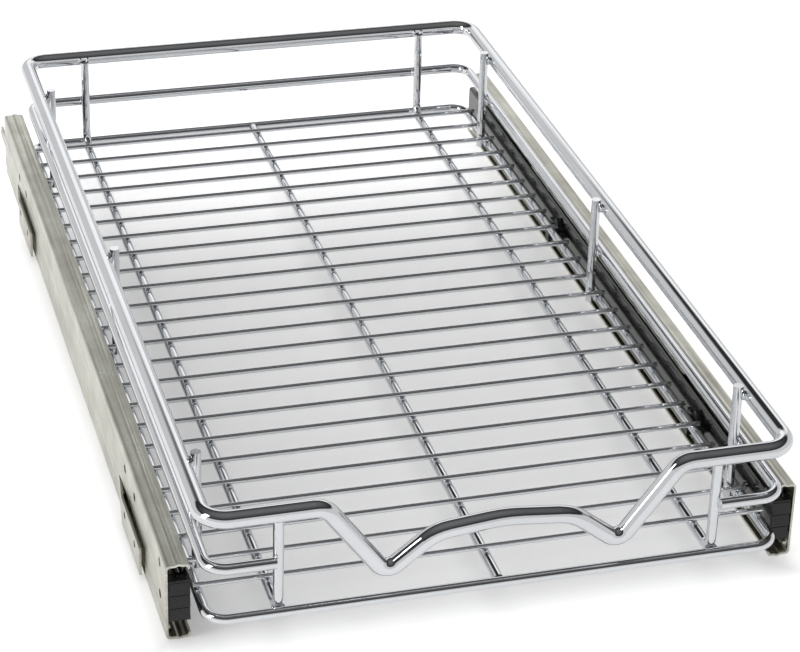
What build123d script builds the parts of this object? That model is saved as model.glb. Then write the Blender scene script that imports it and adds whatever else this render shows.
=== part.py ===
from build123d import *
from math import sqrt
import os

# Pull-out wire basket for a kitchen cabinet, carried by two full-extension ball-bearing slides.
# Millimetres. X runs across the cabinet, Y from the front (-) to the back (+), Z up.
# While the pieces are made, Y = 0 is the middle of the basket and Z = 0 the underside of the slides.
# Every piece is moved along Y on writing, so that the origin is the bottom centre of the whole part.

os.makedirs("parts", exist_ok=True)

# ---------------------------------------------------------------- basket rods
inner_half_width = 148.5        # every side rod touches this plane from outside
inner_half_depth = 280.25       # every front and back rod touches this plane from outside
corner_inner_radius = 8.25      # bend of the rods at the four corners, on their inner side
weld_sink = 0.12                # how far two welded rods sink into each other

rim_diameter = 9.5
rim_height = 82.0               # rod centres above the underside of the slides
middle_diameter = 6.2
middle_height = 52.0
ring_diameter = 5.5
ring_height = 22.0
runner_diameter = 5.5
post_diameter = 5.5
floor_wire_diameter = 3.0
floor_wire_pitch = 22.7
floor_wire_overhang = 0.4       # how far the floor wires end short of the ring's outer side

runner_inset = 33.2             # runner centres inside the plane of the side rods
front_bend_radius = 8.0         # centreline, where a runner turns up into its front post
back_bend_radius = 10.0         # and into its back post
rail_end_bite = 1.0             # how far the ends of the middle rail reach into the front posts
post_overrun = 1.0              # cut ends of the side posts above the rim
post_wire_gap = 0.3             # side post beside its floor wire
bend_wire_gap = 0.3             # first floor wire beside the bend of the runners

# The dip in the front of the rim: distance from the middle, depth below the rim, bend radius
wave_shoulder = (93.2, 0.0, 11.0)
wave_valley = (61.5, 43.0, 7.0)
wave_step = (36.0, 22.8, 25.0)
wave_hump = (0.0, 19.0, 80.0)

# ---------------------------------------------------------------- slides
slide_height = 45.0
slide_thickness = 12.7
slide_front = -263.5
slide_back = 286.5
side_gap = 2.3                  # from the bottom ring to the slide, filled by the mounting clips

cabinet_wall = 1.2
middle_wall = 1.1
drawer_wall = 1.2
cage_wall = 0.8
web_gap = 0.7                   # air between one web and the next
bead_rise = 0.6                 # ball race pressed up above the flat of the outer flange
lip_depth = 2.9                 # turned-in edge of the outer flange
corner_radius = 2.0             # outside bend of the rolled members
middle_flange_end = 11.2        # measured inward from the outer face of the slide
drawer_flange_end = 7.0

outer_ball_radius = 2.0
inner_ball_radius = 1.75
ball_play = 0.25
outer_ball_inset = 7.0          # ball centres, measured inward from the outer face
inner_ball_inset = 9.0
outer_groove_depth = 0.3
inner_groove_depth = 0.25
outer_balls_per_row = 4
inner_balls_per_row = 3
cage_length = 280.0
outer_cage_edge = 0.8           # cage past the balls
inner_cage_edge = 0.55
cage_end_margin = 10.0

# ---------------------------------------------------------------- bumpers, clips, rivets
bumper_depth = 8.0
bumper_half_height = 11.5
bumper_facet_count = 3
bumper_facet_lean = 1.3         # each facet leans back by this much at its top
bumper_web_gap = 0.5
bumper_plug_length = 12.0
middle_front_gap = 0.4          # middle member behind the bumper

clip_places = (-158.0, 88.0)    # along Y, two on each side
clip_width = 11.0
clip_bottom = 11.0
clip_top = 30.0
clip_saddle_depth = 3.0         # cradle below the ring
clip_ear_reach = 15.0
clip_ear_wall = 1.0
clip_ear_height = 9.0
rivet_offset = 10.0
rivet_height = 19.0
rivet_shank_radius = 2.0
rivet_head_radius = 3.2
rivet_head_height = 1.1

# ---------------------------------------------------------------- features of the slide members
lug_setbacks = (55.5, 422.5)    # front end of each lug behind the front of the slide
lug_standoff = 3.0              # outer face of a lug beyond the web
lug_bottom = 3.3
lug_height = 16.5
lug_flat_length = 50.0
lug_bend_length = 23.0          # slope from the stand-off back into the web
lug_hole_radius = 2.1
lug_hole_level = 14.0
lug_hole_setbacks = (13.5, 41.5)
lug_window_margin = 0.6

# Screw holes in the web: distance behind the front of the slide, height
web_holes = ((14.5, 38.0), (14.5, 19.0), (82.5, 34.0), (109.5, 35.0), (456.5, 31.0), (484.5, 29.5))
web_hole_radius = 2.5
rear_tab_length = 20.0
rear_tab_height = 8.0
rear_tab_level = 25.0
rear_tab_hole_radius = 2.0
rear_nub_length = 3.0
rear_nub_height = 7.0
rear_nub_level = 10.0

dimple_radius = 2.4
dimple_top_radius = 1.3
cabinet_dimple_height = 1.6
cabinet_dimple_place = (4.5, 5.2)  # behind the front of the slide, height
drawer_dimple_height = 1.2
drawer_dimple_place = (35.5, 24.0)
catch_length = 3.0
catch_rise = 2.4

# ---------------------------------------------------------------- sizes that follow
ring_outer_half_width = inner_half_width + ring_diameter
drawer_face = ring_outer_half_width + side_gap
slide_outer = drawer_face + slide_thickness
slide_middle = slide_height / 2

outer_race = outer_ball_radius + ball_play
inner_race = inner_ball_radius + ball_play
outer_ball_level = slide_middle - cabinet_wall - outer_race
cabinet_half_height = slide_middle - bead_rise
middle_half_height = outer_ball_level - outer_race + outer_groove_depth
inner_ball_level = middle_half_height - middle_wall + inner_groove_depth - inner_race
drawer_half_height = inner_ball_level - inner_race + inner_groove_depth

outer_cage_web = cabinet_wall + web_gap
middle_web = outer_cage_web + cage_wall + web_gap
inner_cage_web = middle_web + middle_wall + web_gap
outer_cage_end = outer_ball_inset + outer_ball_radius + outer_cage_edge
inner_cage_end = inner_ball_inset + inner_ball_radius + inner_cage_edge

drawer_front = slide_front + bumper_depth
middle_front = drawer_front + middle_front_gap
slide_centre = (slide_front + slide_back) / 2

runner_half_spacing = inner_half_width - runner_inset
back_post_depth = inner_half_depth - runner_diameter / 2 + weld_sink
ring_depth = inner_half_depth + ring_diameter / 2
bend_reach = front_bend_radius + (runner_diameter + ring_diameter) / 2 - weld_sink
bend_seat = sqrt(bend_reach ** 2 - front_bend_radius ** 2)  # bend centre to ring centre, along Y
front_post_depth = ring_depth + front_bend_radius - bend_seat
floor_wire_level = ring_height + ring_diameter / 2 + floor_wire_diameter / 2 - weld_sink
floor_wire_half_length = ring_outer_half_width - floor_wire_overhang
first_wire_place = back_post_depth - back_bend_radius - floor_wire_diameter / 2 - bend_wire_gap
floor_wire_count = int(2 * first_wire_place // floor_wire_pitch) + 1
floor_wire_places = [first_wire_place - floor_wire_pitch * index for index in range(floor_wire_count)]

front_reach = inner_half_depth + rim_diameter
rear_reach = slide_back + rear_tab_length
part_centre = (rear_reach - front_reach) / 2


# ---------------------------------------------------------------- helpers
def save(name, shape):
    export_step(Pos(0, -part_centre, 0) * shape, f"parts/{name}.step")


def save_pair(name, left_shape):
    save(f"left_{name}", left_shape)
    save(f"right_{name}", mirror(left_shape, about=Plane.YZ))


def group(shapes):
    return Compound([solid for shape in shapes for solid in shape.solids()])


def bent_rod(points, radii, diameter, close=False):
    path = FilletPolyline(*points, radius=radii, close=close)
    section = Plane(origin=path @ 0, z_dir=path % 0) * Circle(diameter / 2)
    return sweep(section, path=path)


def straight_rod(start, end, diameter):
    axis = Vector(*end) - Vector(*start)
    bar = Cylinder(diameter / 2, axis.length, align=(Align.CENTER, Align.CENTER, Align.MIN))
    return Plane(origin=start, z_dir=axis) * bar


def loop_corners(diameter, height):
    """Corners and bend radius of a rod that lies around the basket at one height."""
    half_width = inner_half_width + diameter / 2
    half_depth = inner_half_depth + diameter / 2
    corners = [
        (-half_width, half_depth, height),
        (-half_width, -half_depth, height),
        (half_width, -half_depth, height),
        (half_width, half_depth, height),
    ]
    return corners, corner_inner_radius + diameter / 2


def block(near, far, low, high):
    """Rectangle in a slide's section: depth from the outer face, height from the middle."""
    return Pos((near + far) / 2, (low + high) / 2) * Rectangle(far - near, high - low)


def rolled_box(near, far, half_height, wall):
    """Closed rolled section, opened later on the side that has no web."""
    outer = RectangleRounded(far - near, 2 * half_height, corner_radius)
    inner_width = far - near - 2 * wall
    inner = RectangleRounded(inner_width, 2 * (half_height - wall), corner_radius - wall / 2)
    return Pos((near + far) / 2, 0) * (outer - inner)


def pair_of_discs(inset, level, radius):
    return Pos(inset, level) * Circle(radius) + Pos(inset, -level) * Circle(radius)


def slide_bar(section, front, back):
    """Left slide piece: a section drawn from the outer face inward, run from front to back."""
    plane = Plane(origin=(-slide_outer, back, slide_middle), x_dir=(1, 0, 0), z_dir=(0, -1, 0))
    return extrude(plane * section, amount=back - front)


def across(depth, place, level):
    """Location on the left slide with its axis pointing inward, toward the basket."""
    origin = (-slide_outer + depth, place, level)
    return Plane(origin=origin, x_dir=(0, 1, 0), z_dir=(1, 0, 0))


def web_drill(place, level, radius, depth=-slide_thickness, length=3 * slide_thickness):
    drill = Cylinder(radius, length, align=(Align.CENTER, Align.CENTER, Align.MIN))
    return across(depth, place, level) * drill


def pressed_dimple(depth, place, level, height):
    cone = Cone(dimple_radius, dimple_top_radius, height, align=(Align.CENTER, Align.CENTER, Align.MIN))
    return across(depth, place, level) * cone


# ---------------------------------------------------------------- cabinet member
def cabinet_section():
    flat = rolled_box(0, slide_thickness, cabinet_half_height, cabinet_wall)
    mouth = cabinet_half_height - lip_depth
    flat -= block(slide_thickness - 2 * cabinet_wall, slide_thickness + cabinet_wall, -mouth, mouth)
    inner_flat = cabinet_half_height - cabinet_wall
    bead = pair_of_discs(outer_ball_inset, outer_ball_level, outer_race + cabinet_wall)
    bead -= block(0, slide_thickness, -inner_flat, inner_flat)
    return flat + bead - pair_of_discs(outer_ball_inset, outer_ball_level, outer_race)


def lug(setback):
    """Strip lanced out of the web: flat at its stand-off, sloping back into the web at its rear."""
    front = slide_front + setback
    flat_end = front + lug_flat_length
    bend_end = flat_end + lug_bend_length
    outline = Polygon(
        (-lug_standoff, front),
        (cabinet_wall - lug_standoff, front),
        (cabinet_wall - lug_standoff, flat_end),
        (cabinet_wall, bend_end),
        (0, bend_end),
        (-lug_standoff, flat_end),
        align=None,
    )
    strip = Pos(-slide_outer, 0, lug_bottom) * extrude(outline, amount=lug_height)
    for hole_setback in lug_hole_setbacks:
        strip -= web_drill(front + hole_setback, lug_hole_level, lug_hole_radius)
    return strip


def lug_window(setback):
    """Opening that the strip leaves in the web."""
    length = lug_flat_length + lug_bend_length - cabinet_wall
    height = lug_height + 2 * lug_window_margin
    place = slide_front + setback + length / 2
    return across(0, place, lug_bottom + lug_height / 2) * Box(length, height, 2 * cabinet_wall)


def rear_tab():
    """Rounded ear with a hole, and a small nub, behind the back edge of the web."""
    reach = rear_tab_length - rear_tab_height / 2
    ear = Pos(reach / 2, rear_tab_level) * Rectangle(reach, rear_tab_height)
    ear += Pos(reach, rear_tab_level) * Circle(rear_tab_height / 2)
    ear -= Pos(reach, rear_tab_level) * Circle(rear_tab_hole_radius)
    ear += Pos(rear_nub_length / 2, rear_nub_level) * Rectangle(rear_nub_length, rear_nub_height)
    plane = Plane(origin=(-slide_outer, slide_back, 0), x_dir=(0, 1, 0), z_dir=(1, 0, 0))
    return extrude(plane * ear, amount=cabinet_wall)


def cabinet_member():
    member = slide_bar(cabinet_section(), slide_front, slide_back)
    for setback, level in web_holes:
        member -= web_drill(slide_front + setback, level, web_hole_radius)
    for setback in lug_setbacks:
        member -= lug_window(setback)
        member += lug(setback)
    member += rear_tab()
    setback, level = cabinet_dimple_place
    return member + pressed_dimple(cabinet_wall, slide_front + setback, level, cabinet_dimple_height)


# ---------------------------------------------------------------- middle and drawer members
def middle_section():
    box = rolled_box(middle_web, slide_thickness + corner_radius, middle_half_height, middle_wall)
    box -= block(middle_flange_end, 2 * slide_thickness, -slide_middle, slide_middle)
    box -= pair_of_discs(outer_ball_inset, outer_ball_level, outer_race)
    return box - pair_of_discs(inner_ball_inset, inner_ball_level, inner_race)


def drawer_section():
    box = rolled_box(0, slide_thickness, drawer_half_height, drawer_wall)
    box -= block(-slide_thickness, drawer_flange_end, -slide_middle, slide_middle)
    return box - pair_of_discs(inner_ball_inset, inner_ball_level, inner_race)


def drawer_member():
    member = slide_bar(drawer_section(), drawer_front, slide_back)
    for place in clip_places:
        member -= web_drill(place + rivet_offset, rivet_height, rivet_shank_radius)
    setback, level = drawer_dimple_place
    member += pressed_dimple(slide_thickness, slide_front + setback, level, drawer_dimple_height)
    catch_web = slide_thickness - drawer_wall
    catch_top = drawer_half_height + catch_rise
    catch = block(catch_web, slide_thickness, drawer_half_height - corner_radius, catch_top)
    return member + slide_bar(catch, drawer_front, drawer_front + catch_length)


# ---------------------------------------------------------------- ball cages
def ball_places(count):
    first = slide_centre - cage_length / 2 + cage_end_margin
    pitch = (cage_length - 2 * cage_end_margin) / (count - 1)
    return [first + pitch * index for index in range(count)]


def ball_rows(inset, level, radius, count):
    rows = (slide_middle - level, slide_middle + level)
    ball = Sphere(radius)
    return [Pos(inset - slide_outer, place, row) * ball for row in rows for place in ball_places(count)]


def ball_cage(web, end, level, balls):
    """Folded strip whose flanges hold the balls in pockets of their own shape."""
    half_height = level + cage_wall / 2
    section = rolled_box(web, end + slide_thickness, half_height, cage_wall)
    section -= block(end, end + 2 * slide_thickness, -slide_middle, slide_middle)
    cage = slide_bar(section, slide_centre - cage_length / 2, slide_centre + cage_length / 2)
    return cage - balls


# ---------------------------------------------------------------- bumper, clips and rivets
def bumper():
    """Plastic end cap with a stack of leaning facets in front and a plug inside the drawer member."""
    facet_height = 2 * bumper_half_height / bumper_facet_count
    front = []
    for index in range(bumper_facet_count):
        top = bumper_half_height - index * facet_height
        front += [(slide_front + bumper_facet_lean, top), (slide_front, top - facet_height)]
    outline = Polygon(
        (drawer_front, -bumper_half_height),
        (drawer_front, bumper_half_height),
        *front,
        align=None,
    )
    near = cabinet_wall + bumper_web_gap
    plane = Plane(origin=(near - slide_outer, 0, slide_middle), x_dir=(0, 1, 0), z_dir=(1, 0, 0))
    cap = extrude(plane * outline, amount=slide_thickness - near)
    plug_half_height = drawer_half_height - drawer_wall - corner_radius
    plug = block(drawer_flange_end, slide_thickness - drawer_wall, -plug_half_height, plug_half_height)
    return cap + slide_bar(plug, drawer_front, drawer_front + bumper_plug_length)


def clip(place):
    """Leaf-shaped pad between ring and slide, a cradle under the ring and an ear for the rivet."""
    clip_height = clip_top - clip_bottom
    clip_level = (clip_top + clip_bottom) / 2
    leaf_radius = (clip_height ** 2 + clip_width ** 2) / (4 * clip_width)
    leaf_shift = leaf_radius - clip_width / 2
    leaf = Pos(-leaf_shift, 0) * Circle(leaf_radius) & Pos(leaf_shift, 0) * Circle(leaf_radius)
    pad_plane = across(slide_thickness, place, clip_level)
    pad = extrude(pad_plane * leaf, amount=side_gap)
    ear_plane = across(slide_thickness, place + clip_ear_reach / 2, rivet_height)
    ear = extrude(ear_plane * Rectangle(clip_ear_reach, clip_ear_height), amount=clip_ear_wall)
    ear -= web_drill(place + rivet_offset, rivet_height, rivet_shank_radius)
    ring_centre = ring_outer_half_width - ring_diameter / 2
    cradle_bottom = ring_height - ring_diameter / 2 - clip_saddle_depth
    cradle_height = ring_height - cradle_bottom
    cradle = Box(ring_diameter, clip_width / 2, cradle_height, align=(Align.MIN, Align.CENTER, Align.MIN))
    cradle = Pos(-ring_outer_half_width, place, cradle_bottom) * cradle
    ring_run = straight_rod((-ring_centre, place - clip_width, ring_height),
                            (-ring_centre, place + clip_width, ring_height), ring_diameter)
    return pad + ear + cradle - ring_run


def rivet(place):
    """Domed head on the ear, shank through ear and web, low tail inside the drawer member."""
    web = slide_thickness - drawer_wall
    shank = web_drill(place, rivet_height, rivet_shank_radius, web, drawer_wall + clip_ear_wall)
    head_place = across(slide_thickness + clip_ear_wall, place, rivet_height)
    crown = Cone(rivet_head_radius, rivet_shank_radius, rivet_head_height,
                 align=(Align.CENTER, Align.CENTER, Align.MIN))
    tail = Cone(rivet_shank_radius, rivet_head_radius, rivet_head_height,
                align=(Align.CENTER, Align.CENTER, Align.MAX))
    return shank + head_place * crown + across(web, place, rivet_height) * tail


# ---------------------------------------------------------------- basket
def top_rim():
    corners, bend = loop_corners(rim_diameter, rim_height)
    back_left, front_left, front_right, back_right = corners
    front = front_left[1]
    left_wave = [wave_shoulder, wave_valley, wave_step]
    wave = [(-x, depth, radius) for x, depth, radius in left_wave]
    wave += [wave_hump]
    wave += left_wave[::-1]
    points = [back_left, front_left]
    points += [(x, front, rim_height - depth) for x, depth, radius in wave]
    points += [front_right, back_right]
    radii = [bend, bend] + [radius for x, depth, radius in wave] + [bend, bend]
    return bent_rod(points, radii, rim_diameter, close=True)


def middle_rail():
    """Rod round three sides, its two ends shaped to the outer sides of the front posts."""
    corners, bend = loop_corners(middle_diameter, middle_height)
    back_left, front_left, front_right, back_right = corners
    end = runner_half_spacing + post_diameter / 2 - rail_end_bite
    left_end = (-end, front_left[1], middle_height)
    right_end = (end, front_right[1], middle_height)
    points = [left_end, front_left, back_left, back_right, front_right, right_end]
    return bent_rod(points, [bend] * 4, middle_diameter) - front_post_runs()


def bottom_ring():
    corners, bend = loop_corners(ring_diameter, ring_height)
    return bent_rod(corners, [bend] * 4, ring_diameter, close=True)


def front_post_runs():
    y = -front_post_depth
    return [
        straight_rod((x, y, ring_height), (x, y, rim_height), runner_diameter)
        for x in (-runner_half_spacing, runner_half_spacing)
    ]


def side_runner(x):
    """Rod under the floor wires that turns up into two posts, the front one shaped to the rim above it."""
    points = [
        (x, -front_post_depth, rim_height),
        (x, -front_post_depth, ring_height),
        (x, back_post_depth, ring_height),
        (x, back_post_depth, rim_height),
    ]
    rod = bent_rod(points, [front_bend_radius, back_bend_radius], runner_diameter)
    rim_place = -inner_half_depth - rim_diameter / 2
    rim_run_start = (x - rim_diameter, rim_place, rim_height)
    rim_run_end = (x + rim_diameter, rim_place, rim_height)
    return rod - straight_rod(rim_run_start, rim_run_end, rim_diameter)


def centre_runner():
    reach = inner_half_depth + weld_sink
    return straight_rod((0, -reach, ring_height), (0, reach, ring_height), runner_diameter)


def floor_wires():
    half = floor_wire_half_length
    wires = [
        straight_rod((-half, place, floor_wire_level), (half, place, floor_wire_level), floor_wire_diameter)
        for place in floor_wire_places
    ]
    return group(wires)


def left_side_posts():
    """Three uprights inside the rods, each standing just behind a floor wire."""
    x = -(inner_half_width - post_diameter / 2 + weld_sink)
    beside_wire = floor_wire_diameter / 2 + post_diameter / 2 + post_wire_gap
    bottom = ring_height - ring_diameter / 2
    top = rim_height + rim_diameter / 2 + post_overrun
    wire_numbers = (2, floor_wire_count // 2, floor_wire_count - 2)
    places = [floor_wire_places[number] + beside_wire for number in wire_numbers]
    return group([straight_rod((x, place, bottom), (x, place, top), post_diameter) for place in places])


# ---------------------------------------------------------------- pieces
outer_balls = ball_rows(outer_ball_inset, outer_ball_level, outer_ball_radius, outer_balls_per_row)
inner_balls = ball_rows(inner_ball_inset, inner_ball_level, inner_ball_radius, inner_balls_per_row)

save_pair("cabinet_member", cabinet_member())
save_pair("middle_member", slide_bar(middle_section(), middle_front, slide_back))
save_pair("drawer_member", drawer_member())
save_pair("outer_ball_cage", ball_cage(outer_cage_web, outer_cage_end, outer_ball_level, outer_balls))
save_pair("outer_balls", group(outer_balls))
save_pair("inner_ball_cage", ball_cage(inner_cage_web, inner_cage_end, inner_ball_level, inner_balls))
save_pair("inner_balls", group(inner_balls))
save_pair("bumper", bumper())
save_pair("mounting_clips", group([clip(place) for place in clip_places]))
save_pair("clip_rivets", group([rivet(place + rivet_offset) for place in clip_places]))
save_pair("side_posts", left_side_posts())
save("top_rim", top_rim())
save("middle_rail", middle_rail())
save("bottom_ring", bottom_ring())
save("left_runner", side_runner(-runner_half_spacing))
save("right_runner", side_runner(runner_half_spacing))
save("centre_runner", centre_runner())
save("floor_wires", floor_wires())
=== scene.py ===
"""Dresses the pull-out cabinet basket: chromed wire, plated slides, black ends, a plain stage."""

import math

import bmesh
import bpy
from mathutils import Matrix, Vector


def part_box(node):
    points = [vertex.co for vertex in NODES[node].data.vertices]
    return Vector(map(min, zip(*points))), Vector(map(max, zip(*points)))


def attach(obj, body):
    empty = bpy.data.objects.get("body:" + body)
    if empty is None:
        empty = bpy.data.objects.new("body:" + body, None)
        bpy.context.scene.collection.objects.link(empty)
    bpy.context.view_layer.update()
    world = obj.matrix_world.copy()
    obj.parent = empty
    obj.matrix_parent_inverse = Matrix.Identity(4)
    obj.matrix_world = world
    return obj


bl_info = {
    "name": "Pull-out cabinet basket",
    "version": (1, 0, 0),
    "blender": (4, 5, 0),
    "location": "View3D > Sidebar > Basket",
    "description": "Finishes and small parts of a chromed wire basket on ball-bearing slides",
    "category": "Object",
}

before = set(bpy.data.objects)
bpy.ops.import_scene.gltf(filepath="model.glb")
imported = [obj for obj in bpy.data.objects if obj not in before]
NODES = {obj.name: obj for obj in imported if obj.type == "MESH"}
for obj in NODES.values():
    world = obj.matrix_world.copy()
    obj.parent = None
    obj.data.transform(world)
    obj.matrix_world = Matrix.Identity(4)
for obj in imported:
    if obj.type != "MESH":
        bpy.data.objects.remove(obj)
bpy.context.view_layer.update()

MM = 0.001
BASKET = "basket"
# Each side and which way along X is outward there
SIDES = {"left": -1, "right": 1}

WIRE_NODES = ("top_rim", "middle_rail", "bottom_ring", "floor_wires",
              "left_runner", "centre_runner", "right_runner",
              "left_side_posts", "right_side_posts")
SHEET_NODES = ("cabinet_member", "middle_member")
CAGE_NODES = ("outer_ball_cage", "inner_ball_cage")
BALL_NODES = ("outer_balls", "inner_balls")

# Only edges sharper than this many degrees are broken, with this many faces across
EDGE_ANGLE = 50
SHEET_SEGMENTS = 2
MOULDED_SEGMENTS = 3
# The clips are finer mouldings than the bumpers
CLIP_ROUND_SHARE = 0.4
PAD_COUNT = 3

# Weld beads: reach along X, Y and Z, in bead radii
SIDE_POST_BEAD = (0.55, 0.6, 1.0)
BACK_POST_BEAD = (0.6, 0.55, 1.0)
FRONT_POST_TOP_BEAD = (0.6, 0.6, 1.1)
FRONT_POST_BASE_BEAD = (0.6, 0.7, 0.7)
RAIL_END_BEAD = (0.6, 1.1, 1.25)
BEAD_RIPPLE = 0.07
# Beads sit this far out from the middle of a post, in half widths of the post
SIDE_POST_FLANK = 0.8
RUNNER_FLANK = 0.85
RAIL_END_FLANK = 0.9
# At its base they sit this far back from its front and up from the ring's centre
BASE_SETBACK = 0.8
BASE_RISE = 0.6

# Nearly all values of a noise texture lie between these two
NOISE_SPAN = {"From Min": 0.3, "From Max": 0.7}
NOISE_LOW, NOISE_HIGH = NOISE_SPAN.values()
# Rolling draws a pattern out along the slide
LENGTHWISE = (1.0, 0.012, 1.0)

# The camera of the picture: place, view angles and lens
CAMERA_PLACE = (-0.3727, -1.3591, 0.7931)
CAMERA_YAW = 16.46
CAMERA_PITCH = 28.93
CAMERA_ROLL = 1.76
CAMERA_LENS = 120.43
SENSOR_WIDTH = 36.0
CLIP_START = 0.05
CLIP_END = 50

FLOOR_HALF_WIDTH = 6.0
# The paper's glow makes it pure white around the basket; under it the glow is lower, a painted
# shadow of soft grey
FLOOR_PAINTED_SHADOW_GLOW = 0.25
FLOOR_GLOW_AROUND = 0.75
# The painted shadow is the bottom ring's outline, grown and shifted, and fades over this margin
FLOOR_PAINTED_SHADOW_GROWTH = (0.0, 0.03, 0.0)
FLOOR_PAINTED_SHADOW_SHIFT = (-0.008, 0.058, 0.0)
FLOOR_PAINTED_SHADOW_MARGIN = 0.035
# Where the painted shadow starts to fade towards the back and is gone, from the back of the ring
FLOOR_PAINTED_SHADOW_FADE_BACK = (-0.2, 0.06)
# How much of that glow, painted shadow included, the chrome mirrors
FLOOR_MIRRORED = 0.55

# Brightness of the room by height: a white wall, a dark ceiling, a little lighter straight above
ROOM_STOPS = ((0.0, 0.82), (0.40, 0.82), (0.50, 0.03), (0.62, 0.05), (0.85, 0.13), (1.0, 0.20))
ROOM_STRENGTH = 0.85
# The wall is this much higher behind the basket than in front of it
WALL_TILT = 0.085

# Soft boxes: place, the point they face, width and height, watts
TOP_BOX = ((-0.5, 0.3, 2.2), (0, 0, 0), (2.4, 2.0), 23)
LEFT_BOX = ((-2.4, -0.6, 1.1), (0, 0, 0.05), (0.7, 2.2), 25)
BACK_BOX = ((0.9, 2.4, 1.3), (0, 0, 0.05), (2.4, 0.9), 3)


def to_linear(hex_colour):
    """sRGB hex value as linear red, green and blue."""
    channels = [int(hex_colour[i:i + 2], 16) / 255 for i in (1, 3, 5)]
    return tuple(c / 12.92 if c <= 0.04045 else ((c + 0.055) / 1.055) ** 2.4 for c in channels)


class BasketSizes(bpy.types.PropertyGroup):
    """Sizes of the small parts that the finish adds."""

    wire_end_round: bpy.props.FloatProperty(
        name="Wire end rounding", description="Deburred edge at the cut ends of the wire",
        default=0.35 * MM, unit="LENGTH")
    sheet_edge_round: bpy.props.FloatProperty(
        name="Sheet edge rounding", description="Rolled-over edge of the slide steel",
        default=0.18 * MM, unit="LENGTH")
    moulding_round: bpy.props.FloatProperty(
        name="Moulding rounding", description="Edge radius of the plastic mouldings",
        default=0.5 * MM, unit="LENGTH")
    pad_groove: bpy.props.FloatProperty(
        name="Pad groove", description="Groove between two pads of a bumper",
        default=1.3 * MM, unit="LENGTH")
    pad_lean: bpy.props.FloatProperty(
        name="Pad lean", description="How far a pad leans back at its top",
        default=1.8 * MM, unit="LENGTH")
    pad_rise: bpy.props.FloatProperty(
        name="Pad rise", description="How far a pad stands out in front of the bumper",
        default=0.9 * MM, unit="LENGTH")
    pad_inset: bpy.props.FloatProperty(
        name="Pad inset", description="How far a pad ends short of the bumper's sides",
        default=0.3 * MM, unit="LENGTH")
    weld_radius: bpy.props.FloatProperty(
        name="Weld bead radius", description="Half width of the beads where rods cross",
        default=2.3 * MM, unit="LENGTH")


class BasketColours(bpy.types.PropertyGroup):
    """Colours of the finishes."""

    chrome: bpy.props.FloatVectorProperty(
        name="Chrome plate", description="Bright chrome on the wire",
        subtype="COLOR", default=to_linear("#E4E6E9"))
    zinc: bpy.props.FloatVectorProperty(
        name="Zinc plate", description="Clear zinc on the slide steel",
        subtype="COLOR", default=to_linear("#DADACF"))
    zinc_shade: bpy.props.FloatVectorProperty(
        name="Zinc rolling shade", description="Darker rolling lines in the zinc",
        subtype="COLOR", default=to_linear("#BBB8AD"))
    # Darker than bare steel: painted shade for the drawer members' inner faces between the basket
    # and the slides
    inner_steel: bpy.props.FloatVectorProperty(
        name="Drawer steel", description="Bright-rolled steel of the drawer members",
        subtype="COLOR", default=to_linear("#6C6C6A"))
    bearing: bpy.props.FloatVectorProperty(
        name="Bearing steel", description="Polished balls",
        subtype="COLOR", default=to_linear("#D2D4D6"))
    plastic: bpy.props.FloatVectorProperty(
        name="Black plastic", description="Bumpers and mounting clips",
        subtype="COLOR", default=to_linear("#151617"))
    rivet: bpy.props.FloatVectorProperty(
        name="Rivet steel", description="Rivet heads",
        subtype="COLOR", default=to_linear("#9C9D9D"))
    floor: bpy.props.FloatVectorProperty(
        name="Floor", description="Paper under the basket",
        subtype="COLOR", default=to_linear("#E8E8E8"))


def add_node(tree, kind, inputs=None, links=None, stops=(), **settings):
    """One shader node with its settings, input values, incoming links and colour stops."""
    node = tree.nodes.new(kind)
    for key, value in settings.items():
        setattr(node, key, value)
    for key, value in (inputs or {}).items():
        node.inputs[key].default_value = value
    for key, socket in (links or {}).items():
        tree.links.new(socket, node.inputs[key])
    for index, (place, colour) in enumerate(stops):
        elements = node.color_ramp.elements
        element = elements[index] if index < len(elements) else elements.new(place)
        element.position = place
        element.color = (*colour, 1.0)
    return node


def per_mm(size):
    """Texture scale for features about this many millimetres wide, on coordinates in metres."""
    return 1 / (size * MM)


def times(colour, share):
    """A darker or lighter shade of a colour."""
    return [share * channel for channel in colour]


def new_material(name):
    """Empty node material with its output and the object coordinates that every finish uses."""
    material = bpy.data.materials.new(name)
    material.use_nodes = True
    tree = material.node_tree
    tree.nodes.clear()
    output = add_node(tree, "ShaderNodeOutputMaterial")
    place = add_node(tree, "ShaderNodeTexCoord").outputs["Object"]
    return material, tree, output, place


def bright_chrome_plate(colour):
    """Bright nickel-chrome on drawn wire: a near mirror, clouded a little by handling."""
    material, tree, output, place = new_material("bright_chrome_plate")
    cloud = add_node(tree, "ShaderNodeTexNoise", inputs={"Scale": per_mm(35), "Detail": 3},
                     links={"Vector": place}).outputs["Fac"]
    # Real drawing marks are finer than a pixel, so these are as coarse as they need to show
    drawn = add_node(tree, "ShaderNodeTexNoise", inputs={"Scale": per_mm(2.5), "Detail": 2},
                     links={"Vector": place}).outputs["Fac"]
    shades = ((NOISE_LOW, times(colour, 0.93)), (NOISE_HIGH, colour))
    tint = add_node(tree, "ShaderNodeValToRGB", stops=shades,
                    links={"Fac": cloud}).outputs["Color"]
    roughness = add_node(tree, "ShaderNodeMapRange",
                         inputs={**NOISE_SPAN, "To Min": 0.045, "To Max": 0.10},
                         links={"Value": cloud}).outputs["Result"]
    bump = add_node(tree, "ShaderNodeBump", inputs={"Strength": 0.05, "Distance": 0.02 * MM},
                    links={"Height": drawn}).outputs["Normal"]
    shader = add_node(tree, "ShaderNodeBsdfPrincipled", inputs={"Metallic": 1.0},
                      links={"Base Color": tint, "Roughness": roughness, "Normal": bump})
    tree.links.new(shader.outputs["BSDF"], output.inputs["Surface"])
    return material


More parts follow.
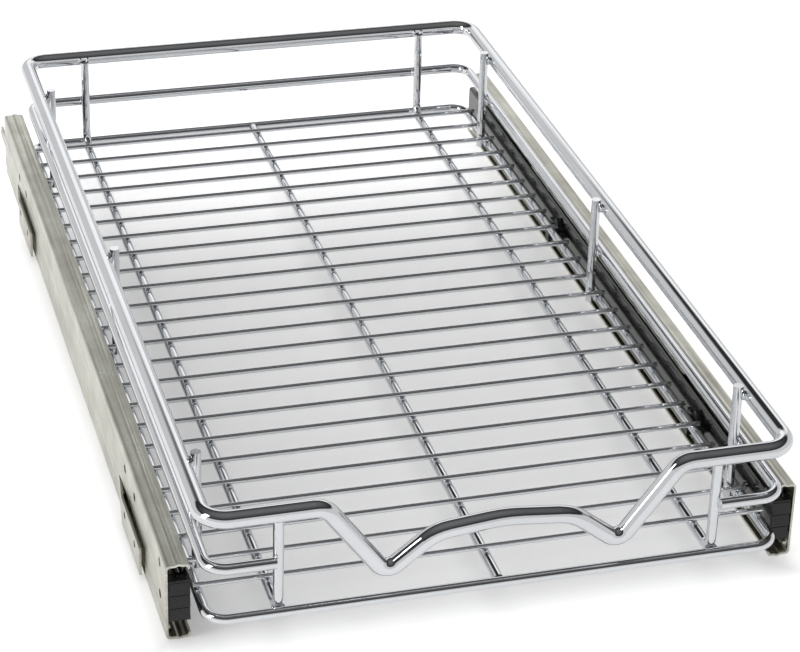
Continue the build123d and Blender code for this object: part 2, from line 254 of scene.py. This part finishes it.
def rolled_zinc_plate(colour, shade):
    """Clear zinc over cold-rolled strip: satin metal with lengthwise rolling lines and clouds."""
    material, tree, output, place = new_material("rolled_zinc_plate")
    along = add_node(tree, "ShaderNodeMapping", inputs={"Scale": LENGTHWISE},
                     links={"Vector": place}).outputs["Vector"]
    # Real rolling lines are finer than a pixel, so these are as coarse as they need to show
    lines = add_node(tree, "ShaderNodeTexNoise", inputs={"Scale": per_mm(1.6), "Detail": 4},
                     links={"Vector": along}).outputs["Fac"]
    cloud = add_node(tree, "ShaderNodeTexNoise",
                     inputs={"Scale": per_mm(28), "Detail": 5, "Roughness": 0.6},
                     links={"Vector": place}).outputs["Fac"]
    both = add_node(tree, "ShaderNodeMath", operation="ADD",
                    links={0: lines, 1: cloud}).outputs["Value"]
    mean = add_node(tree, "ShaderNodeMath", operation="MULTIPLY", inputs={1: 0.5},
                    links={0: both}).outputs["Value"]
    # The mean of two noises keeps nearer to the middle than one noise does
    tint = add_node(tree, "ShaderNodeValToRGB", stops=((0.38, shade), (0.6, colour)),
                    links={"Fac": mean}).outputs["Color"]
    roughness = add_node(tree, "ShaderNodeMapRange",
                         inputs={**NOISE_SPAN, "To Min": 0.38, "To Max": 0.24},
                         links={"Value": mean}).outputs["Result"]
    bump = add_node(tree, "ShaderNodeBump", inputs={"Strength": 0.12, "Distance": 0.03 * MM},
                    links={"Height": lines}).outputs["Normal"]
    shader = add_node(tree, "ShaderNodeBsdfPrincipled", inputs={"Metallic": 1.0},
                      links={"Base Color": tint, "Roughness": roughness, "Normal": bump})
    tree.links.new(shader.outputs["BSDF"], output.inputs["Surface"])
    return material


def rolled_steel_painted_shade(colour):
    """Bright-rolled strip of the drawer members: glossier than zinc, lined lengthwise, and
    darkened as painted shade.
    """
    material, tree, output, place = new_material("rolled_steel_painted_shade")
    along = add_node(tree, "ShaderNodeMapping", inputs={"Scale": LENGTHWISE},
                     links={"Vector": place}).outputs["Vector"]
    # Real rolling lines are finer than a pixel, so these are as coarse as they need to show
    lines = add_node(tree, "ShaderNodeTexNoise", inputs={"Scale": per_mm(1.2), "Detail": 4},
                     links={"Vector": along}).outputs["Fac"]
    shades = ((NOISE_LOW, times(colour, 0.8)), (NOISE_HIGH, colour))
    tint = add_node(tree, "ShaderNodeValToRGB", stops=shades,
                    links={"Fac": lines}).outputs["Color"]
    roughness = add_node(tree, "ShaderNodeMapRange",
                         inputs={**NOISE_SPAN, "To Min": 0.12, "To Max": 0.2},
                         links={"Value": lines}).outputs["Result"]
    bump = add_node(tree, "ShaderNodeBump", inputs={"Strength": 0.08, "Distance": 0.03 * MM},
                    links={"Height": lines}).outputs["Normal"]
    shader = add_node(tree, "ShaderNodeBsdfPrincipled", inputs={"Metallic": 1.0},
                      links={"Base Color": tint, "Roughness": roughness, "Normal": bump})
    tree.links.new(shader.outputs["BSDF"], output.inputs["Surface"])
    return material


def polished_bearing_steel(colour):
    """Hardened chrome steel, tumbled to a mirror, with a film of grease that breaks its gloss."""
    material, tree, output, place = new_material("polished_bearing_steel")
    film = add_node(tree, "ShaderNodeTexNoise", inputs={"Scale": per_mm(3), "Detail": 3},
                    links={"Vector": place}).outputs["Fac"]
    shades = ((NOISE_LOW, times(colour, 0.85)), (NOISE_HIGH, colour))
    tint = add_node(tree, "ShaderNodeValToRGB", stops=shades,
                    links={"Fac": film}).outputs["Color"]
    roughness = add_node(tree, "ShaderNodeMapRange",
                         inputs={**NOISE_SPAN, "To Min": 0.08, "To Max": 0.2},
                         links={"Value": film}).outputs["Result"]
    shader = add_node(tree, "ShaderNodeBsdfPrincipled", inputs={"Metallic": 1.0},
                      links={"Base Color": tint, "Roughness": roughness})
    tree.links.new(shader.outputs["BSDF"], output.inputs["Surface"])
    return material


def moulded_black_nylon(colour):
    """Glass-filled nylon from a spark-eroded mould: dark, low sheen, with a fine even grain."""
    material, tree, output, place = new_material("moulded_black_nylon")
    # Real mould grain is finer than a pixel, so this is as coarse as it needs to show
    grain = add_node(tree, "ShaderNodeTexNoise", inputs={"Scale": per_mm(0.5), "Detail": 2},
                     links={"Vector": place}).outputs["Fac"]
    scuff = add_node(tree, "ShaderNodeTexNoise", inputs={"Scale": per_mm(6), "Detail": 4},
                     links={"Vector": place}).outputs["Fac"]
    shades = ((NOISE_LOW, colour), (NOISE_HIGH, times(colour, 1.7)))
    tint = add_node(tree, "ShaderNodeValToRGB", stops=shades,
                    links={"Fac": scuff}).outputs["Color"]
    roughness = add_node(tree, "ShaderNodeMapRange",
                         inputs={**NOISE_SPAN, "To Min": 0.2, "To Max": 0.32},
                         links={"Value": scuff}).outputs["Result"]
    bump = add_node(tree, "ShaderNodeBump", inputs={"Strength": 0.12, "Distance": 0.05 * MM},
                    links={"Height": grain}).outputs["Normal"]
    shader = add_node(tree, "ShaderNodeBsdfPrincipled",
                      links={"Base Color": tint, "Roughness": roughness, "Normal": bump})
    tree.links.new(shader.outputs["BSDF"], output.inputs["Surface"])
    return material


def headed_rivet_steel(colour):
    """Plated mild steel, dulled where the riveting tool pressed it."""
    material, tree, output, place = new_material("headed_rivet_steel")
    marks = add_node(tree, "ShaderNodeTexNoise", inputs={"Scale": per_mm(1.5), "Detail": 3},
                     links={"Vector": place}).outputs["Fac"]
    shades = ((NOISE_LOW, times(colour, 0.7)), (NOISE_HIGH, colour))
    tint = add_node(tree, "ShaderNodeValToRGB", stops=shades,
                    links={"Fac": marks}).outputs["Color"]
    roughness = add_node(tree, "ShaderNodeMapRange",
                         inputs={**NOISE_SPAN, "To Min": 0.28, "To Max": 0.42},
                         links={"Value": marks}).outputs["Result"]
    shader = add_node(tree, "ShaderNodeBsdfPrincipled", inputs={"Metallic": 1.0},
                      links={"Base Color": tint, "Roughness": roughness})
    tree.links.new(shader.outputs["BSDF"], output.inputs["Surface"])
    return material


def paper_glow(tree, place):
    """Strength of the paper's glow by place: low under the basket, which paints a shadow there,
    high around and behind it.
    """
    ring_low, ring_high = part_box("bottom_ring")
    centre = (ring_low + ring_high) / 2 + Vector(FLOOR_PAINTED_SHADOW_SHIFT)
    half = (ring_high - ring_low) / 2 + Vector(FLOOR_PAINTED_SHADOW_GROWTH)
    shifted = add_node(tree, "ShaderNodeVectorMath", operation="SUBTRACT",
                       inputs={1: centre}, links={0: place}).outputs["Vector"]
    folded = add_node(tree, "ShaderNodeVectorMath", operation="ABSOLUTE",
                      links={0: shifted}).outputs["Vector"]
    past = add_node(tree, "ShaderNodeVectorMath", operation="SUBTRACT",
                    inputs={1: half}, links={0: folded}).outputs["Vector"]
    axes = add_node(tree, "ShaderNodeSeparateXYZ", links={"Vector": past}).outputs
    away = add_node(tree, "ShaderNodeMath", operation="MAXIMUM",
                    links={0: axes["X"], 1: axes["Y"]}).outputs["Value"]
    depth = add_node(tree, "ShaderNodeSeparateXYZ", links={"Vector": place}).outputs["Y"]
    glow = {"To Min": FLOOR_PAINTED_SHADOW_GLOW, "To Max": FLOOR_GLOW_AROUND}
    fade_start, fade_end = (ring_high.y + edge for edge in FLOOR_PAINTED_SHADOW_FADE_BACK)
    # Painted shadow: over the ring's outline the glow stays low, so the paper shows grey there
    around = add_node(tree, "ShaderNodeMapRange", interpolation_type="SMOOTHSTEP",
                      inputs={"From Min": 0.0, "From Max": FLOOR_PAINTED_SHADOW_MARGIN, **glow},
                      links={"Value": away}).outputs["Result"]
    behind = add_node(tree, "ShaderNodeMapRange", interpolation_type="SMOOTHSTEP",
                      inputs={"From Min": fade_start, "From Max": fade_end, **glow},
                      links={"Value": depth}).outputs["Result"]
    return add_node(tree, "ShaderNodeMath", operation="MAXIMUM",
                    links={0: around, 1: behind}).outputs["Value"]


def matt_paper_with_painted_shadow(colour):
    """Studio paper: matt, white to the camera and in the chrome, with a painted shadow under the
    basket as well as the lamps' soft shadow.
    """
    material, tree, output, place = new_material("matt_paper_with_painted_shadow")
    # Real tooth is finer than a pixel, so this is as coarse as it needs to show
    tooth = add_node(tree, "ShaderNodeTexNoise", inputs={"Scale": per_mm(1.2), "Detail": 2},
                     links={"Vector": place}).outputs["Fac"]
    bump = add_node(tree, "ShaderNodeBump", inputs={"Strength": 0.02, "Distance": 0.05 * MM},
                    links={"Height": tooth}).outputs["Normal"]
    paper = add_node(tree, "ShaderNodeBsdfDiffuse", inputs={"Color": (*colour, 1.0)},
                     links={"Normal": bump}).outputs["BSDF"]
    path = add_node(tree, "ShaderNodeLightPath").outputs
    mirrored = add_node(tree, "ShaderNodeMath", operation="MULTIPLY",
                        inputs={1: FLOOR_MIRRORED},
                        links={0: path["Is Glossy Ray"]}).outputs["Value"]
    seen = add_node(tree, "ShaderNodeMath", operation="ADD", use_clamp=True,
                    links={0: path["Is Camera Ray"], 1: mirrored}).outputs["Value"]
    # The lower glow under the basket is a painted shadow, seen by the camera and in the chrome
    strength = add_node(tree, "ShaderNodeMath", operation="MULTIPLY",
                        links={0: seen, 1: paper_glow(tree, place)}).outputs["Value"]
    glow = add_node(tree, "ShaderNodeEmission",
                    links={"Strength": strength}).outputs["Emission"]
    both = add_node(tree, "ShaderNodeAddShader", links={0: paper, 1: glow})
    tree.links.new(both.outputs["Shader"], output.inputs["Surface"])
    return material


def shared_material(maker, *colours):
    """The material that a maker makes and names after itself, made once."""
    made = bpy.data.materials.get(maker.__name__)
    return made or maker(*[list(colour) for colour in colours])


def finish_node(name, material, edge=0.0, segments=SHEET_SEGMENTS):
    """Gives a frame node its material and softly broken edges."""
    node = NODES[name]
    node.data.materials.clear()
    node.data.materials.append(material)
    if edge:
        bevel = node.modifiers.new("broken_edges", "BEVEL")
        bevel.width = edge
        bevel.segments = segments
        bevel.limit_method = "ANGLE"
        bevel.angle_limit = math.radians(EDGE_ANGLE)
        bevel.harden_normals = True


def mesh_piece(name, mesh, material, body):
    """A new object from a bmesh, shaded smooth, riding on its body."""
    data = bpy.data.meshes.new(name)
    mesh.to_mesh(data)
    mesh.free()
    data.polygons.foreach_set("use_smooth", [True] * len(data.polygons))
    data.materials.append(material)
    piece = bpy.data.objects.new(name, data)
    bpy.context.scene.collection.objects.link(piece)
    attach(piece, body)
    return piece


class BASKET_OT_wire(bpy.types.Operator):
    """Chrome on every rod and wire of the basket"""

    bl_idname = "basket.wire"
    bl_label = "Chrome the wire"

    def execute(self, context):
        scene = context.scene
        chrome = shared_material(bright_chrome_plate, scene.basket_colours.chrome)
        for name in WIRE_NODES:
            finish_node(name, chrome, scene.basket_sizes.wire_end_round)
        return {"FINISHED"}


def rod_radii():
    """Radius of the three rods that go round the basket, all lying against one inner plane."""
    rail_low, rail_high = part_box("middle_rail")
    ring_low, ring_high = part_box("bottom_ring")
    rim_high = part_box("top_rim")[1]
    rail = (rail_high.z - rail_low.z) / 2
    inner_plane = rail_high.x - 2 * rail
    return {"top_rim": (rim_high.x - inner_plane) / 2,
            "middle_rail": rail,
            "bottom_ring": (ring_high.z - ring_low.z) / 2}


def crossing_levels():
    """Height of the centre of each of the three rods."""
    return {name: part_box(name)[1].z - radius for name, radius in rod_radii().items()}


def bead(mesh, place, radius, shares):
    """A small smooth blob of weld metal with a few shallow waves."""
    scale = Matrix.Diagonal((*(share * radius for share in shares), 1.0))
    for vertex in bmesh.ops.create_icosphere(mesh, subdivisions=3, radius=1.0)["verts"]:
        wave = math.sin(5 * vertex.co.x + 3 * vertex.co.z) * math.cos(4 * vertex.co.y)
        uneven = vertex.co * (1 + BEAD_RIPPLE * wave)
        vertex.co = Vector(place) + (scale @ uneven.to_4d()).to_3d()


def side_post_beads(mesh, side, levels, radius):
    """Beads on both flanks of each side post, at each rod that it crosses."""
    low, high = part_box(f"{side}_side_posts")
    wall = low.x if side == "left" else high.x
    half = (high.x - low.x) / 2
    for share in (0.0, 0.5, 1.0):
        middle = low.y + half + share * (high.y - low.y - 2 * half)
        for level in levels.values():
            for end in (-1, 1):
                place = (wall, middle + end * half * SIDE_POST_FLANK, level)
                bead(mesh, place, radius, SIDE_POST_BEAD)


def runner_beads(mesh, side, levels, radius):
    """Beads at the back and front posts of a runner and at the rail's end."""
    low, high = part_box(f"{side}_runner")
    x, half = (low.x + high.x) / 2, (high.x - low.x) / 2
    for end in (-1, 1):
        edge = x + end * half * RUNNER_FLANK
        for name in ("top_rim", "middle_rail"):
            bead(mesh, (edge, high.y, levels[name]), radius, BACK_POST_BEAD)
        top = (edge, low.y + half, levels["top_rim"] - half)
        base = (edge, low.y + half * BASE_SETBACK, levels["bottom_ring"] + half * BASE_RISE)
        bead(mesh, top, radius, FRONT_POST_TOP_BEAD)
        bead(mesh, base, radius, FRONT_POST_BASE_BEAD)
    rail_end = (x + SIDES[side] * half * RAIL_END_FLANK, low.y, levels["middle_rail"])
    bead(mesh, rail_end, radius, RAIL_END_BEAD)


class BASKET_OT_welds(bpy.types.Operator):
    """Small weld beads where the posts meet the rods"""

    bl_idname = "basket.welds"
    bl_label = "Weld beads"

    def execute(self, context):
        scene = context.scene
        radius = scene.basket_sizes.weld_radius
        chrome = shared_material(bright_chrome_plate, scene.basket_colours.chrome)
        levels = crossing_levels()
        mesh = bmesh.new()
        for side in SIDES:
            side_post_beads(mesh, side, levels, radius)
            runner_beads(mesh, side, levels, radius)
        mesh_piece("weld_beads", mesh, chrome, BASKET)
        return {"FINISHED"}


class BASKET_OT_slides(bpy.types.Operator):
    """Zinc, steel and bearing finishes on the slides"""

    bl_idname = "basket.slides"
    bl_label = "Plate the slides"

    def execute(self, context):
        colours = context.scene.basket_colours
        edge = context.scene.basket_sizes.sheet_edge_round
        zinc = shared_material(rolled_zinc_plate, colours.zinc, colours.zinc_shade)
        inner = shared_material(rolled_steel_painted_shade, colours.inner_steel)
        bearing = shared_material(polished_bearing_steel, colours.bearing)
        rivet = shared_material(headed_rivet_steel, colours.rivet)
        for side in SIDES:
            for part in SHEET_NODES:
                finish_node(f"{side}_{part}", zinc, edge)
            # The drawer members take the darkened steel, a painted shade
            finish_node(f"{side}_drawer_member", inner, edge)
            for part in CAGE_NODES:
                finish_node(f"{side}_{part}", zinc)
            for part in BALL_NODES:
                finish_node(f"{side}_{part}", bearing)
            finish_node(f"{side}_clip_rivets", rivet)
        return {"FINISHED"}


def bumper_pads(name, low, high, material, sizes):
    """Leaning pads with a groove between them on the front of a bumper."""
    height = (high.z - low.z) / PAD_COUNT
    walls = (low.x + sizes.pad_inset, high.x - sizes.pad_inset)
    front = low.y - sizes.pad_rise
    back = low.y + sizes.pad_lean + sizes.pad_rise
    mesh = bmesh.new()
    for index in range(PAD_COUNT):
        bottom = low.z + index * height + sizes.pad_groove / 2
        top = bottom + height - sizes.pad_groove
        profile = ((front, bottom), (back, bottom), (back, top), (front + sizes.pad_lean, top))
        near, far = ([mesh.verts.new((x, y, z)) for y, z in profile] for x in walls)
        mesh.faces.new(near[::-1])
        mesh.faces.new(far)
        for corner, after in ((0, 1), (1, 2), (2, 3), (3, 0)):
            mesh.faces.new((near[corner], near[after], far[after], far[corner]))
    bmesh.ops.recalc_face_normals(mesh, faces=mesh.faces)
    pads = mesh_piece(name, mesh, material, BASKET)
    bevel = pads.modifiers.new("moulded_edges", "BEVEL")
    bevel.width = sizes.moulding_round
    bevel.segments = MOULDED_SEGMENTS
    bevel.harden_normals = True


class BASKET_OT_mouldings(bpy.types.Operator):
    """Black nylon on the bumpers and the mounting clips"""

    bl_idname = "basket.mouldings"
    bl_label = "Mould the black parts"

    def execute(self, context):
        scene = context.scene
        sizes = scene.basket_sizes
        nylon = shared_material(moulded_black_nylon, scene.basket_colours.plastic)
        for side in SIDES:
            finish_node(f"{side}_bumper", nylon, sizes.moulding_round, MOULDED_SEGMENTS)
            finish_node(f"{side}_mounting_clips", nylon, CLIP_ROUND_SHARE * sizes.moulding_round)
            bumper_pads(f"{side}_bumper_pads", *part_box(f"{side}_bumper"), nylon, sizes)
        return {"FINISHED"}


def area_light(name, place, target, size, watts):
    """Soft box of a given width and height, turned to a point."""
    data = bpy.data.lights.new(name, "AREA")
    data.shape = "RECTANGLE"
    data.size, data.size_y = size
    data.energy = watts
    light = bpy.data.objects.new(name, data)
    bpy.context.scene.collection.objects.link(light)
    light.location = place
    light.rotation_euler = (Vector(target) - Vector(place)).to_track_quat("-Z", "Y").to_euler()
    return light


def studio_world():
    """White to the camera; to light and reflections a white wall all round, a dark ceiling."""
    world = bpy.data.worlds.new("studio_room")
    bpy.context.scene.world = world
    world.use_nodes = True
    tree = world.node_tree
    tree.nodes.clear()
    output = add_node(tree, "ShaderNodeOutputWorld")
    direction = add_node(tree, "ShaderNodeTexCoord").outputs["Generated"]
    height = add_node(tree, "ShaderNodeVectorMath", operation="DOT_PRODUCT",
                      inputs={1: (0.0, -WALL_TILT, 1.0)}, links={0: direction}).outputs["Value"]
    greys = [(place, (value, value, value)) for place, value in ROOM_STOPS]
    tone = add_node(tree, "ShaderNodeValToRGB", stops=greys,
                    links={"Fac": height}).outputs["Color"]
    room = add_node(tree, "ShaderNodeBackground", inputs={"Strength": ROOM_STRENGTH},
                    links={"Color": tone})
    white = add_node(tree, "ShaderNodeBackground",
                     inputs={"Color": (1.0, 1.0, 1.0, 1.0), "Strength": 1.0})
    path = add_node(tree, "ShaderNodeLightPath")
    mixed = add_node(tree, "ShaderNodeMixShader", links={0: path.outputs["Is Camera Ray"],
                                                         1: room.outputs["Background"],
                                                         2: white.outputs["Background"]})
    tree.links.new(mixed.outputs["Shader"], output.inputs["Surface"])


def add_camera():
    """Camera at the picture's place and angle."""
    yaw, pitch, roll = (math.radians(angle) for angle in (CAMERA_YAW, CAMERA_PITCH, CAMERA_ROLL))
    forward = Vector((math.sin(yaw) * math.cos(pitch),
                      math.cos(yaw) * math.cos(pitch),
                      -math.sin(pitch)))
    level_right = Vector((math.cos(yaw), -math.sin(yaw), 0))
    level_up = level_right.cross(forward)
    right = level_right * math.cos(roll) + level_up * math.sin(roll)
    up = level_up * math.cos(roll) - level_right * math.sin(roll)
    data = bpy.data.cameras.new("camera")
    data.sensor_width = SENSOR_WIDTH
    data.lens = CAMERA_LENS
    data.clip_start = CLIP_START
    data.clip_end = CLIP_END
    camera = bpy.data.objects.new("camera", data)
    bpy.context.scene.collection.objects.link(camera)
    turn = Matrix((right, up, -forward)).transposed().to_4x4()
    camera.matrix_world = Matrix.Translation(CAMERA_PLACE) @ turn
    bpy.context.scene.camera = camera


def paper_floor(colour):
    """A wide sheet of paper under the basket."""
    mesh = bmesh.new()
    bmesh.ops.create_grid(mesh, x_segments=8, y_segments=8, size=FLOOR_HALF_WIDTH)
    data = bpy.data.meshes.new("paper_floor")
    mesh.to_mesh(data)
    mesh.free()
    data.materials.append(shared_material(matt_paper_with_painted_shadow, colour))
    floor = bpy.data.objects.new("paper_floor", data)
    bpy.context.scene.collection.objects.link(floor)


class BASKET_OT_stage(bpy.types.Operator):
    """Paper floor, soft lights, room and camera"""

    bl_idname = "basket.stage"
    bl_label = "Set the stage"

    def execute(self, context):
        scene = context.scene
        paper_floor(scene.basket_colours.floor)
        # The chrome mirrors the dark ceiling and not the box that hangs from it
        area_light("top_soft_box", *TOP_BOX).visible_glossy = False
        area_light("left_soft_box", *LEFT_BOX)
        area_light("back_soft_box", *BACK_BOX)
        studio_world()
        add_camera()
        scene.view_settings.view_transform = "Standard"
        return {"FINISHED"}


OPERATORS = (BASKET_OT_wire, BASKET_OT_welds, BASKET_OT_slides,
             BASKET_OT_mouldings, BASKET_OT_stage)


class BASKET_PT_panel(bpy.types.Panel):
    """Lists the steps that dress the basket"""

    bl_idname = "BASKET_PT_panel"
    bl_label = "Pull-out basket"
    bl_space_type = "VIEW_3D"
    bl_region_type = "UI"
    bl_category = "Basket"

    def draw(self, context):
        for operator in OPERATORS:
            self.layout.operator(operator.bl_idname)
        for group in (context.scene.basket_sizes, context.scene.basket_colours):
            for key in group.bl_rna.properties.keys():
                if key not in ("rna_type", "name"):
                    self.layout.prop(group, key)


CLASSES = (BasketSizes, BasketColours, *OPERATORS, BASKET_PT_panel)


def register():
    for cls in CLASSES:
        bpy.utils.register_class(cls)
    bpy.types.Scene.basket_sizes = bpy.props.PointerProperty(type=BasketSizes)
    bpy.types.Scene.basket_colours = bpy.props.PointerProperty(type=BasketColours)


def unregister():
    del bpy.types.Scene.basket_colours
    del bpy.types.Scene.basket_sizes
    for cls in reversed(CLASSES):
        bpy.utils.unregister_class(cls)


def main():
    register()
    bpy.ops.basket.wire()
    bpy.ops.basket.welds()
    bpy.ops.basket.slides()
    bpy.ops.basket.mouldings()
    bpy.ops.basket.stage()


if __name__ == "__main__":
    main()
